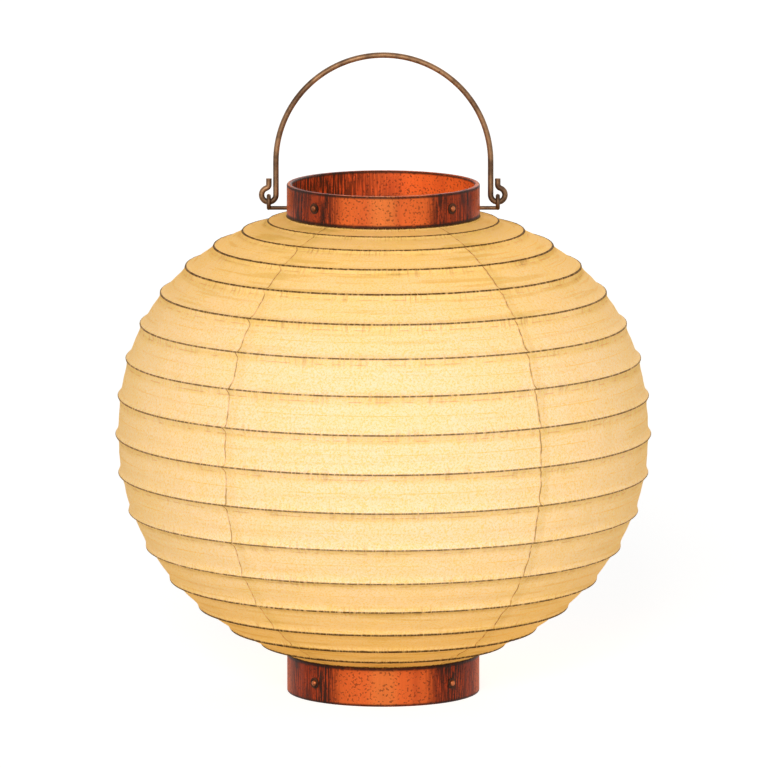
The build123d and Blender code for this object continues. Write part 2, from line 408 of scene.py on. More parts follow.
@dataclass(frozen=True)
class PaperSpot:
    """Sockets that say where a spot of the paper is.

    Attributes:
        places: Object coordinates.
        unrolled: Length round the axis, 0 and height.
        reach: Distance from the axis.
        around: Share of the way round the globe.
        down: Share of the way down the globe.
        share: Share of the way down its own panel.
        crest: The same, from the nearest crest, -0.5 to 0.5.
        far: 0 at the flame's height, 1 by the collars.
    """

    places: Socket
    unrolled: Socket
    reach: Socket
    around: Socket
    down: Socket
    share: Socket
    crest: Socket
    far: Socket


@dataclass(frozen=True)
class WashiFinish:
    """Washi with seams and fibres, a painted glow, painted hoop shadows and painted shade, warmer
    away from the flame.
    """

    paper: Colour = (0.78, 0.70, 0.61)
    # Colour of the painted warmth away from the flame, and of the fibres.
    warm: Colour = (0.82, 0.61, 0.19)
    # Colour of the painted shade in the folds, and of the laid lines, specks, creases and overlaps.
    fold_shade_and_tint: Colour = (0.74, 0.50, 0.12)
    # Painted shadow of each hoop, seen through the paper as a dark line on its crest.
    hoop_shadow_line: Colour = (0.095, 0.042, 0.011)
    # Colour of the seams, and of the painted shade in the pleats and in the faint line under each
    # hoop.
    seam_and_shade_line: Colour = (0.30, 0.17, 0.07)
    shaded: Colour = (0.50, 0.30, 0.13)
    # Painted glow: emission colours that stand in for the candle's light through the paper.
    glow: Colour = (0.98, 0.53, 0.115)
    glow_far: Colour = (0.98, 0.43, 0.048)
    unlit: Colour = (0.02, 0.01, 0.004)
    glow_strength: float = 0.56
    flame_height: float = 0.150
    flame_reach: float = 0.13
    near_flame: float = 0.35
    # Painted shade on the paper right beside the collars.
    collar_shade: Span = (0.088, 0.055)
    collar_shade_strength: float = 0.42
    panels: float = 17.0
    gores: float = 5.0
    wrap_radius: float = 0.15
    fold_stretch: Scale = (22.0, 1.0, 160.0)
    fibre_stretch: Scale = (900.0, 900.0, 900.0)
    fibre_range: Span = (0.44, 0.62)
    laid_stretch: Scale = (11.0, 1.0, 420.0)
    pleat_stretch: Scale = (500.0, 1.0, 45.0)
    pleat_range: Span = (0.51, 0.62)
    patch_stretch: Scale = (36.0, 1.0, 90.0)
    gap_stretch: Scale = (520.0, 1.0, 40.0)
    dash_stretch: Scale = (110.0, 1.0, 30.0)
    crinkle_stretch: Scale = (420.0, 420.0, 260.0)
    line_width: float = 0.034
    line_widened_far: float = 0.026
    line_widened_below: float = 0.030
    below_bulge: Span = (0.72, 0.95)
    seam_wander: float = 0.0035
    seam_jog: float = 0.0016
    seam_half_width: float = 0.0007
    overlap_middle: float = 0.003
    overlap_half_width: float = 0.0045

    def build(self, groups: SharedGroups) -> Material:
        """Build the material. Its UV map runs round the globe (U) and down its panels (V)."""
        material, graph, shader, places = new_material("lit_washi")
        spot = self._spot(graph, groups, places)

        # Broad tone: painted shade that warms the paper away from the flame, mottled at random, and
        # painted shade that browns it right beside the collars.
        mottled = graph.ramp(graph.noise(places, 38.0, 4.0, 0.6), 0.35, 0.75)
        warmth = graph.math(
            "ADD", graph.times(spot.far, 0.62), graph.times(mottled, 0.22), clamp=True
        )
        shade = graph.ramp(spot.reach, *self.collar_shade)
        shade = graph.times(shade, self.collar_shade_strength)

        # Painted shade in the fold under each hoop, and a crease midway, broken up along their
        # length.
        along = graph.strokes(spot.unrolled, self.fold_stretch, 3.0)
        under = groups.soft_band(graph, spot.share, 0.12, 0.17)
        tint = graph.times(under, graph.ramp(along, 0.2, 0.75))
        middle = groups.soft_band(graph, spot.share, 0.50, 0.017)
        crease = graph.times(graph.times(middle, graph.ramp(along, 0.4, 0.6)), 0.75)

        # Fibres and specks, and faint laid lines that thicken towards the collars.
        fibre = graph.strokes(places, self.fibre_stretch, 2.0, 0.85)
        fibres = graph.ramp(fibre, *self.fibre_range)
        laid = graph.ramp(graph.strokes(spot.unrolled, self.laid_stretch), 0.54, 0.64)
        laid = graph.times(laid, graph.plus(0.18, graph.times(spot.far, 0.55)))
        specks = groups.fine_specks(graph, places, 1100.0, 0.66)

        # Painted shade in the pleats, stronger away from the flame.
        pleat = self._pleats(graph, spot)
        pleat_shade = graph.plus(0.30, graph.times(spot.far, 0.35))
        dark = self._hoop_shadow_line(graph, groups, spot)
        faint = self._lower_line(graph, groups, spot)
        seam, overlap = self._seams(graph, groups, spot)
        layers = (
            (shade, 1.0, self.shaded),
            (tint, 0.50, self.fold_shade_and_tint),
            (fibres, 0.85, self.warm),
            (laid, 1.0, self.fold_shade_and_tint),
            (specks, 0.42, self.fold_shade_and_tint),
            (graph.times(pleat, pleat_shade), 1.0, self.seam_and_shade_line),
            (crease, 1.0, self.fold_shade_and_tint),
            (faint, 0.7, self.seam_and_shade_line),
            (overlap, 0.20, self.fold_shade_and_tint),
            (seam, 1.0, self.seam_and_shade_line),
            (dark, 1.0, self.hoop_shadow_line),
        )
        base = graph.mix(warmth, self.paper, self.warm)
        graph.feed(shader.inputs["Base Color"], graph.layered(base, layers))

        # Painted glow: emission that stands in for the candle's light through the paper. It is
        # stopped by the same lines, the painted hoop shadows and seams, and dimmed by the folds and
        # painted shade.
        dimmers = (
            (tint, 0.10), (overlap, 0.10), (fibres, 0.20), (laid, 0.3),
            (pleat, 0.18), (faint, 0.3), (shade, 0.6),
        )
        blocked = graph.math("MAXIMUM", dark, graph.times(seam, 0.75), clamp=True)
        blocked = graph.math("MAXIMUM", blocked, graph.weighted(dimmers), clamp=True)
        glow = graph.mix(spot.far, self.glow, self.glow_far)
        graph.feed(shader.inputs["Emission Color"], graph.mix(blocked, glow, self.unlit))
        shader.inputs["Emission Strength"].default_value = self.glow_strength
        shader.inputs["Roughness"].default_value = 0.85
        shader.inputs["Specular IOR Level"].default_value = 0.15

        crinkle = graph.strokes(places, self.crinkle_stretch, 4.0, 0.65)
        relief = graph.weighted(((crinkle, 0.7), (fibre, 0.3)))
        add_bump(graph, shader, graph.minus(relief, graph.times(pleat, 0.5)), 0.0005, 0.7)
        return material

    def _spot(self, graph: Graph, groups: SharedGroups, places: Socket) -> PaperSpot:
        """Work out where a spot of the paper is, from its UV map and Object coordinates."""
        uv = graph.node("ShaderNodeUVMap", uv_map="UVMap")
        parts = graph.split(uv.outputs[0])
        around, down = parts["X"], parts["Y"]
        panel = graph.times(down, self.panels)
        share = graph.math("FRACT", panel)
        crest = graph.minus(graph.math("FRACT", graph.plus(panel, 0.5)), 0.5)
        away = graph.minus(graph.split(places)["Z"], self.flame_height)
        away = graph.math("ABSOLUTE", away)
        far = graph.ramp(away, self.near_flame * self.flame_reach, self.flame_reach)
        wrap = graph.group(groups.wrap, Vector=places, Radius=self.wrap_radius)
        unrolled, reach = wrap.outputs["Vector"], wrap.outputs["Reach"]
        return PaperSpot(places, unrolled, reach, around, down, share, crest, far)

    def _pleats(self, graph: Graph, spot: PaperSpot) -> Socket:
        """Mark the fine pleats that start under and above each hoop, in patches."""
        pleats = graph.ramp(
            graph.strokes(spot.unrolled, self.pleat_stretch, 2.0, 0.6), *self.pleat_range
        )
        near = graph.ramp(graph.math("ABSOLUTE", graph.minus(spot.crest, 0.05)), 0.30, 0.02)
        patches = graph.ramp(graph.strokes(spot.unrolled, self.patch_stretch), 0.30, 0.70)
        return graph.times(graph.times(pleats, near), patches)

    def _hoop_shadow_line(self, graph: Graph, groups: SharedGroups, spot: PaperSpot) -> Socket:
        """Mark the painted shadow of the hoop on each crest, a dark line wider far from the flame
        and low down.
        """
        gaps = graph.strokes(spot.unrolled, self.gap_stretch, 3.0, 0.75)
        strength = graph.times(graph.ramp(gaps, 0.34, 0.54), 0.52)
        wide = graph.plus(self.line_width, graph.times(spot.far, self.line_widened_far))
        low_down = graph.ramp(spot.down, *self.below_bulge)
        wide = graph.plus(wide, graph.times(low_down, self.line_widened_below))
        line = groups.soft_band(graph, spot.crest, 0.0, wide)
        firm = graph.plus(0.34, graph.times(spot.far, 0.26))
        return graph.math("MULTIPLY", line, graph.plus(firm, strength), clamp=True)

    def _lower_line(self, graph: Graph, groups: SharedGroups, spot: PaperSpot) -> Socket:
        """Mark a faint dashed line of painted shade, 0.15 of the way down each panel under each
        hoop.
        """
        lower = groups.soft_band(graph, spot.share, 0.15, 0.020)
        dashes = graph.ramp(graph.strokes(spot.unrolled, self.dash_stretch), 0.46, 0.58)
        return graph.times(graph.times(lower, dashes), 0.55)

    def _seams(self, graph: Graph, groups: SharedGroups, spot: PaperSpot) -> tuple[Socket, Socket]:
        """Mark the gores' seams, which jog sideways under each hoop, and their overlaps."""
        wander = graph.minus(graph.noise(spot.places, 90.0, 2.0), 0.5)
        wander = graph.times(wander, self.seam_wander)
        jog = graph.times(graph.ramp(spot.share, 0.16, 0.0), self.seam_jog)
        gore = graph.math("FRACT", graph.plus(graph.times(spot.around, self.gores), 0.5))
        turn = graph.times(graph.minus(gore, 0.5), 2 * math.pi / self.gores)
        offset = graph.plus(graph.times(turn, spot.reach), graph.plus(wander, jog))
        seam = groups.soft_band(graph, offset, 0.0, self.seam_half_width)
        worn = graph.ramp(graph.noise(spot.places, 260.0, 2.0), 0.3, 0.6)
        seam = graph.times(seam, graph.plus(0.30, graph.times(worn, 0.5)))
        overlap = groups.soft_band(graph, offset, self.overlap_middle, self.overlap_half_width)
        return seam, overlap


@dataclass(frozen=True)
class LacquerFinish:
    """Vermilion lacquer on turned wood, with upright brush streaks, specks and a soft gloss.

    It has painted shade by the nails and a painted highlight between them, a dark band on its
    edges, and a painted shadow on one side of the bore.
    """

    bright: Colour = (0.88, 0.165, 0.032)
    # Also the colour of the painted shade by the nails and of the painted shadow in the bore.
    deep: Colour = (0.44, 0.050, 0.015)
    dark: Colour = (0.028, 0.010, 0.005)
    highlight_colour: Colour = (0.96, 0.27, 0.055)
    outer: float = 0.0545
    bore: float = 0.0515
    wall_split: Span = (0.0523, 0.0533)
    edge_width: float = 0.00055
    edge_height: float = 0.0021
    nails: float = 4.0
    # The painted shadow in the bore lies on the side at this turn.
    shadow_turn: float = math.radians(172)
    shadow_spread: Span = (-0.25, 0.80)
    broad_stretch: Scale = (55.0, 1.0, 14.0)
    streak_stretch: Scale = (900.0, 1.0, 60.0)
    patch_stretch: Scale = (60.0, 1.0, 10.0)
    ragged_stretch: Scale = (300.0, 1.0, 300.0)
    rim: float = 0.0
    foot: float = 0.0

    def build(self, groups: SharedGroups, name: str) -> Material:
        """Build the material for a collar between the heights in foot and rim."""
        material, graph, shader, places = new_material(name)
        wrap = graph.group(groups.wrap, Vector=places, Radius=self.outer)
        unrolled, reach, turn = (wrap.outputs[key] for key in ("Vector", "Reach", "Turn"))
        broad = graph.strokes(unrolled, self.broad_stretch, 3.0)
        streak = graph.strokes(unrolled, self.streak_stretch, 3.0, 0.6)
        streaks = graph.ramp(streak, 0.40, 0.52)
        specks = groups.fine_specks(graph, places, 760.0, 0.78)

        # Outside: painted shade by the nails, and a painted highlight midway between them.
        outer_wall = graph.ramp(reach, *self.wall_split)
        quarter = graph.math("COSINE", graph.times(turn, self.nails))
        half = graph.math("COSINE", graph.times(turn, self.nails / 2))
        shade_by_nails = graph.ramp(graph.minus(graph.times(half, 0.6), quarter), -0.3, 0.7)
        shade_by_nails = graph.times(shade_by_nails, outer_wall)
        painted_highlight = graph.times(graph.ramp(quarter, 0.72, 1.0), outer_wall)
        patch = graph.ramp(graph.strokes(unrolled, self.patch_stretch, 1.0), 0.25, 0.6)
        region = graph.times(graph.plus(graph.times(shade_by_nails, 0.90), 0.06), patch)

        # Inside: painted shadow on the side of the bore that faces the shadow's turn.
        facing_shadow = graph.math("COSINE", graph.minus(turn, self.shadow_turn))
        inner_shadow = graph.times(graph.ramp(facing_shadow, *self.shadow_spread), graph.minus(1.0, outer_wall))
        region = graph.math("MAXIMUM", region, graph.times(inner_shadow, 0.95))

        # The brush streaks are darkest in the painted shade by the nails and the painted shadow in
        # the bore.
        layers = (
            (painted_highlight, 0.60, self.highlight_colour),
            (shade_by_nails, 0.85, self.deep),
            (inner_shadow, 0.80, self.deep),
            (graph.times(streaks, region), 1.0, self.dark),
            (specks, 0.55, self.dark),
            (self._dark_edges(graph, groups, places, wrap), 1.0, self.dark),
        )
        base = graph.mix(graph.ramp(broad, 0.42, 0.85), self.bright, self.deep)
        graph.feed(shader.inputs["Base Color"], graph.layered(base, layers))
        graph.feed(shader.inputs["Roughness"], graph.plus(0.40, graph.times(broad, 0.2)))
        shader.inputs["Specular IOR Level"].default_value = 0.14
        add_bump(graph, shader, graph.minus(streak, graph.times(specks, 0.6)), 0.0003, 0.55)
        return material

    def _dark_edges(
        self, graph: Graph, groups: SharedGroups, places: Socket, wrap: Node
    ) -> Socket:
        """Mark a ragged dark band on the rim's and foot's corners."""
        height, reach = graph.split(places)["Z"], wrap.outputs["Reach"]
        outside = groups.soft_band(graph, reach, self.outer, self.edge_width)
        inside = groups.soft_band(graph, reach, self.bore, self.edge_width)
        corner = graph.math("MAXIMUM", outside, inside)
        edges: object = 0.0
        for edge in (self.foot, self.rim):
            near = groups.soft_band(graph, height, edge, self.edge_height)
            edges = graph.math("MAXIMUM", graph.times(near, corner), edges)
        ragged = graph.strokes(wrap.outputs["Vector"], self.ragged_stretch)
        ragged = graph.ramp(ragged, 0.25, 0.5)
        return graph.times(edges, graph.plus(0.6, graph.times(ragged, 0.35)))


@dataclass(frozen=True)
class MetalFinish:
    """A plain metal with cloudy patina, fine specks and a fine relief."""

    name: str
    clean: Colour
    patina: Colour
    speck: Colour = (0.02, 0.012, 0.008)
    metallic: float = 0.85
    roughness: float = 0.38
    grain: float = 700.0

    def build(self, groups: SharedGroups) -> Material:
        """Build the material."""
        material, graph, shader, places = new_material(self.name)
        cloud = graph.noise(places, self.grain * 0.22, 4.0, 0.65)
        base = graph.mix(graph.ramp(cloud, 0.40, 0.64), self.clean, self.patina)
        specks = groups.fine_specks(graph, places, self.grain * 2.0, 0.4)
        colour = graph.layered(base, ((specks, 0.6, self.speck),))
        graph.feed(shader.inputs["Base Color"], colour)
        shader.inputs["Metallic"].default_value = self.metallic
        rough = graph.plus(self.roughness, graph.times(cloud, 0.25))
        graph.feed(shader.inputs["Roughness"], rough)
        add_bump(graph, shader, graph.noise(places, self.grain, 3.0), 0.0001, 0.5)
        return material


@dataclass(frozen=True)
class GrainFinish:
    """Wood, bamboo, thread, wax or wick: a base tone with stretched grain."""

    name: str
    light: Colour
    shade: Colour
    stretch: Scale = (60.0, 900.0, 900.0)
    roughness: float = 0.55
    relief: float = 0.00012
    subsurface: float = 0.0
    subsurface_radius: Scale = (0.004, 0.0025, 0.0012)

    def build(self, groups: SharedGroups) -> Material:
        """Build the material."""
        material, graph, shader, places = new_material(self.name)
        grain = graph.strokes(places, self.stretch, 4.0, 0.6)
        broad = graph.times(graph.noise(places, 45.0, 2.0), 0.3)
        share = graph.math("ADD", graph.ramp(grain, 0.35, 0.7), broad, clamp=True)
        base = graph.mix(share, self.light, self.shade)
        specks = groups.fine_specks(graph, places, 1500.0, 0.35)
        colour = graph.layered(base, ((specks, 0.25, self.shade),))
        graph.feed(shader.inputs["Base Color"], colour)
        shader.inputs["Roughness"].default_value = self.roughness
        shader.inputs["Subsurface Weight"].default_value = self.subsurface
        shader.inputs["Subsurface Radius"].default_value = self.subsurface_radius
        add_bump(graph, shader, grain, self.relief, 0.6)
        return material


# --- Modelling helpers ---


def deselect_all() -> None:
    """Leave nothing selected, and object mode on."""
    if bpy.context.object and bpy.context.object.mode != "OBJECT":
        bpy.ops.object.mode_set(mode="OBJECT")
    bpy.ops.object.select_all(action="DESELECT")


def select_only(*pieces: Piece) -> None:
    """Select the given pieces alone, the first of them active."""
    deselect_all()
    for piece in pieces:
        piece.select_set(True)
    bpy.context.view_layer.objects.active = pieces[0]


def turned(radius: float, height: float, angle: float) -> Vector:
    """Give the point at a radius and height, at an angle in radians round the axis."""
    return Vector((radius * math.cos(angle), radius * math.sin(angle), height))


def finish_piece(
    piece: Piece, body: Body, slot: Slot, material: Material, nodes: Sequence[str]
) -> None:
    """Give a finished piece its material and body, and hide the CAD nodes that it stands for.

    Args:
        piece: The piece, at the origin, unturned and unscaled.
        body: The body that it rides on.
        slot: Not used.
        material: Its material.
        nodes: CAD nodes that it replaces.
    """
    piece.data.materials.clear()
    piece.data.materials.append(material)
    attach(piece, body.value)
    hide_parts(*nodes)
    LOG.info("%s: %d faces on %s", piece.name, len(piece.data.polygons), body.value)


def wrapped_grid(
    name: str, columns: int, rows: int, place: Callable[[int, int], Vector]
) -> Piece:
    """Add a grid and put each of its points where a rule says.

    Args:
        name: The new object's name.
        columns: Faces across the grid.
        rows: Faces down the grid.
        place: Gives a point from its column and row.

    Returns:
        The new object, selected and active.
    """
    deselect_all()
    bpy.ops.mesh.primitive_grid_add(
        x_subdivisions=columns, y_subdivisions=rows, size=1.0, location=(0, 0, 0)
    )
    sheet = bpy.context.object
    sheet.name = name
    sheet.data.name = name
    for vertex in sheet.data.vertices:
        column = round((vertex.co.x + 0.5) * columns)
        row = round((0.5 - vertex.co.y) * rows)
        vertex.co = place(column, row)
    return sheet


def apply_modifier(piece: Piece, kind: str, **settings: object) -> None:
    """Add a modifier to a piece and apply it.

    Args:
        piece: The piece.
        kind: The modifier's type, such as "SOLIDIFY".
        settings: Properties to set on it.
    """
    select_only(piece)
    modifier = piece.modifiers.new(kind.lower(), kind)
    for name, value in settings.items():
        setattr(modifier, name, value)
    bpy.ops.object.modifier_apply(modifier=modifier.name)


def point_normals_outwards(piece: Piece) -> None:
    """Merge a piece's doubles and make its normals consistent, facing outwards."""
    select_only(piece)
    bpy.ops.object.mode_set(mode="EDIT")
    bpy.ops.mesh.select_all(action="SELECT")
    bpy.ops.mesh.remove_doubles(threshold=1e-6)
    bpy.ops.mesh.normals_make_consistent(inside=False)
    bpy.ops.object.mode_set(mode="OBJECT")


def smooth_by_angle(piece: Piece, degrees: float) -> None:
    """Shade a piece smooth where its faces meet at less than an angle."""
    select_only(piece)
    bpy.ops.object.shade_smooth_by_angle(angle=math.radians(degrees))


# --- Sub-assemblies ---


@dataclass(frozen=True)
class Ripple:
    """Smooth unevenness round the globe.

    Attributes:
        size: How strong it is.
        fineness: How often it turns, round the globe.
        step: How far apart two panels read it.
    """

    size: float
    fineness: float
    step: float

    def at(self, angle: float, down: float) -> float:
        """Read it at an angle, in radians, and at a panel's number or between two."""
        ring = Vector((math.cos(angle), math.sin(angle), 0))
        return self.size * noise.noise(ring * self.fineness + Vector((0, 0, down * self.step)))


@dataclass
class PaperGlobe:
    """Five gores of paper over sixteen hoops, with ridges, hollows, pleats and overlapped seams."""

    hoop_count: int = 16
    gore_count: int = 5
    hoop_width: float = 2.0 * MILLIMETRE
    hoop_thickness: float = 1.2 * MILLIMETRE
    crest_rise: float = 1.80 * MILLIMETRE
    collar_radius: float = 54.5 * MILLIMETRE
    lip_radius: float = 51.1 * MILLIMETRE
    lip_height: float = 2.4 * MILLIMETRE
    collar_gap: float = 0.3 * MILLIMETRE
    thickness: float = 0.25 * MILLIMETRE
    sag_share: float = 0.070
    last_sag: float = 0.6
    crest_round: float = 0.22 * MILLIMETRE
    profile: tuple[tuple[float, float], ...] = (
        (0.0, 0.0), (0.03, 0.26), (0.05, 0.42), (0.08, 0.76), (0.11, 0.92), (0.15, 0.92),
        (0.20, 1.08), (0.28, 1.08), (0.5, 0.92), (0.70, 0.99), (0.79, 1.03), (0.86, 0.94),
        (0.92, 0.68), (0.955, 0.36), (0.985, 0.12), (1.0, 0.0),
    )
    unevenness: Ripple = Ripple(0.12, 4.0, 3.7)
    pleats: Ripple = Ripple(0.14 * MILLIMETRE, 44.0, 5.1)
    puckers: Ripple = Ripple(0.30 * MILLIMETRE, 13.0, 2.3)
    pleat_reach: float = 4.0 * MILLIMETRE
    overlap_rise: float = 0.22 * MILLIMETRE
    overlap_width: float = 4.0 * MILLIMETRE
    overlap_falloff: int = 6
    columns: int = 144
    rows_per_panel: int = 14

    def __post_init__(self) -> None:
        """Read the hoops' and collars' places from the frame."""
        self.lower_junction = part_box("lower_collar")[1].z
        self.upper_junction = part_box("upper_collar")[0].z
        self.crests = self._crests()
        self.panel_rows = self.rows_per_panel * (self.hoop_count + 1)
        self.all_rows = self.panel_rows + 2 * LIP_ROWS

    def _crests(self) -> list[Vector]:
        """Crest of each hoop, with the turn over each collar's corner first and last."""
        corners = [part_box(f"hoop_{number:02d}") for number in range(1, self.hoop_count + 1)]
        middles = [Vector((high.x, 0, (low.z + high.z) / 2)) for low, high in corners]
        top = Vector((self.collar_radius, 0, self.upper_junction - self.collar_gap))
        bottom = Vector((self.collar_radius, 0, self.lower_junction + self.collar_gap))
        ends = [top, *middles, bottom]
        crests = [top]
        for before, middle, after in zip(ends, middles, ends[2:]):
            along = (after - before).normalized()
            out = Vector((-along.z, 0, along.x))
            half = (self.hoop_thickness * out.x + self.hoop_width * abs(out.z)) / 2
            centre = Vector((middle.x - half, 0, middle.z))
            crests.append(centre + out * self.crest_rise)
        return [*crests, bottom]

    def _hollow(self, share: float) -> float:
        """Depth of the paper between two crests, as a share of the full sag."""
        for (start, low), (end, high) in zip(self.profile, self.profile[1:]):
            if share <= end:
                part = (share - start) / (end - start)
                return low + (high - low) * part
        return 0.0

    def _outline(self, panel: int, share: float, angle: float) -> Vector:
        """Point of the paper in a panel, from its upper crest (0) to its lower one (1).

        Args:
            panel: The panel's number, from the top.
            share: How far down the panel.
            angle: Angle round the axis, in radians.

        Returns:
            Radius and height, as X and Z.
        """
        upper, lower = self.crests[panel], self.crests[panel + 1]
        chord = lower - upper
        out = Vector((-chord.z, 0, chord.x)).normalized()
        if out.x < 0:
            out.negate()
        width = chord.length
        edge = min(share, 1 - share) * width
        uneven = 1 + self.unevenness.at(angle, panel)
        rounded = edge / math.hypot(edge, self.crest_round)
        depth = self.sag_share * width * uneven * self._hollow(share) * rounded
        if panel == self.hoop_count:
            depth *= self.last_sag
        pleat = self.pleats.at(angle, panel)
        depth += pleat * math.exp(-edge / self.pleat_reach) * rounded * 2
        depth += self.puckers.at(angle, panel + share) * math.sin(math.pi * share)
        return upper + chord * share - out * depth

    def _place(self, gore: int, column: int, row: int) -> Vector:
        """Point of a gore at a column and row of its grid."""
        across = column / self.columns
        start = math.radians(FRONT_ANGLE - 180 / self.gore_count)
        angle = start + (gore + across) * 2 * math.pi / self.gore_count
        last = self.panel_rows + LIP_ROWS
        if row < LIP_ROWS or row > last:
            top = row < LIP_ROWS
            at = Vector((self.lip_radius, 0, self.crests[0].z if top else self.crests[-1].z))
            if row in (0, self.all_rows):
                at.z += self.lip_height if top else -self.lip_height
            return turned(at.x, at.z, angle)
        at = self._outline(*self._panel_share(row), angle)
        from_seam = across * 2 * math.pi / self.gore_count * at.x
        near_seam = 1 - min(from_seam / self.overlap_width, 1.0) ** self.overlap_falloff
        rise = self.overlap_rise * near_seam if LIP_ROWS < row < last else 0.0
        return turned(at.x + rise, at.z, angle)

    def _panel_share(self, row: int) -> tuple[int, float]:
        """Panel that a row lies in, and how far down it. Rows are closer by the crests."""
        step = min(max(row - LIP_ROWS, 0), self.panel_rows)
        panel = min(step // self.rows_per_panel, self.hoop_count)
        return panel, 0.5 - 0.5 * math.cos(math.pi * (step / self.rows_per_panel - panel))

    def _write_map(self, sheet: Piece, gore: int) -> None:
        """Write a gore's UV map: U round the globe, V down the panels from 0 to 1."""
        layer = sheet.data.uv_layers.active or sheet.data.uv_layers.new(name="UVMap")
        layer.name = "UVMap"
        for corner in layer.data:
            panel, share = self._panel_share(round((1 - corner.uv.y) * self.all_rows))
            around = (gore + corner.uv.x) / self.gore_count
            corner.uv = (around, (panel + share) / (self.hoop_count + 1))

    def build(self, material: Material) -> None:
        """Build the five gores and attach each to the base body.

        Args:
            material: The paper's finish.
        """
        for gore in range(self.gore_count):
            name = f"washi_gore_{gore + 1}"
            place = partial(self._place, gore)
            sheet = wrapped_grid(name, self.columns, self.all_rows, place)
            self._write_map(sheet, gore)
            middle = sheet.data.polygons[len(sheet.data.polygons) // 2]
            if middle.normal.dot(Vector((middle.center.x, middle.center.y, 0))) < 0:
                sheet.data.flip_normals()
            shell = {"thickness": self.thickness, "offset": -1.0, "use_even_offset": False}
            apply_modifier(sheet, "SOLIDIFY", **shell)
            smooth_by_angle(sheet, 60)
            finish_piece(sheet, Body.BASE, Slot.WASHI, material, [f"paper_gore_{gore + 1}"])
            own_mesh(sheet)


@dataclass
class SpacingThreads:
    """Waxed threads down the inside of the hoops."""

    radius: float = 0.35 * MILLIMETRE
    sides: int = 8
    inset: float = 3.5 * MILLIMETRE
    past_seam: float = 1.5
    gore_count: int = 5

    def build(self, globe: PaperGlobe, material: Material) -> None:
        """Build the threads as thin tubes along the crests, drawn in by their inset.

        Args:
            globe: The paper globe whose crests they follow.
            material: Their finish.
        """
        steps = zip(globe.crests, globe.crests[1:], globe.crests[2:])
        line = [crest - self._inward(before, after) for before, crest, after in steps]
        tubes = []
        for gore in range(self.gore_count):
            seam = FRONT_ANGLE - 180 / self.gore_count + gore * 360 / self.gore_count
            tubes.append(self._tube(line, math.radians(seam + self.past_seam), gore))
        select_only(*tubes)
        bpy.ops.object.join()
        threads = bpy.context.object
        threads.name = "spacing_thread_lines"
        point_normals_outwards(threads)
        smooth_by_angle(threads, 50)
        finish_piece(threads, Body.BASE, Slot.THREAD, material, ["spacing_threads"])
        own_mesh(threads)

    def _inward(self, before: Vector, after: Vector) -> Vector:
        """Step from the crest between two others to the thread inside it."""
        along = (after - before).normalized()
        return Vector((-along.z, 0, along.x)) * self.inset

    def _tube(self, line: Sequence[Vector], angle: float, gore: int) -> Piece:
        """Wrap a grid round one thread's line."""
        points = [turned(point.x, point.z, angle) for point in line]
        sideways = Vector((-math.sin(angle), math.cos(angle), 0))

        def place(column: int, row: int) -> Vector:
            """Point round the thread at a column, beside the hoop of a row."""
            before, after = points[max(row - 1, 0)], points[min(row + 1, len(points) - 1)]
            outward = sideways.cross((after - before).normalized())
            turn = 2 * math.pi * column / self.sides
            spoke = sideways * math.cos(turn) + outward * math.sin(turn)
            return points[row] + spoke * self.radius

        tube = wrapped_grid(f"thread_{gore}", self.sides, len(line) - 1, place)
        point_normals_outwards(tube)
        return tube


def dress(nodes: Sequence[str], material: Material) -> None:
    """Give CAD nodes a finish.

    Args:
        nodes: The nodes' names.
        material: Their finish.
    """
    for name in nodes:
        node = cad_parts[name]
        node.data.materials.clear()
        node.data.materials.append(material)
    LOG.info("%s on %d nodes", material.name, len(nodes))


# --- Stage ---


@dataclass(frozen=True)
class Lamp:
    """A soft square lamp that faces the lantern. Its power is in watts."""

    name: str
    at: tuple[float, float, float]
    size: float
    power: float
    colour: Colour


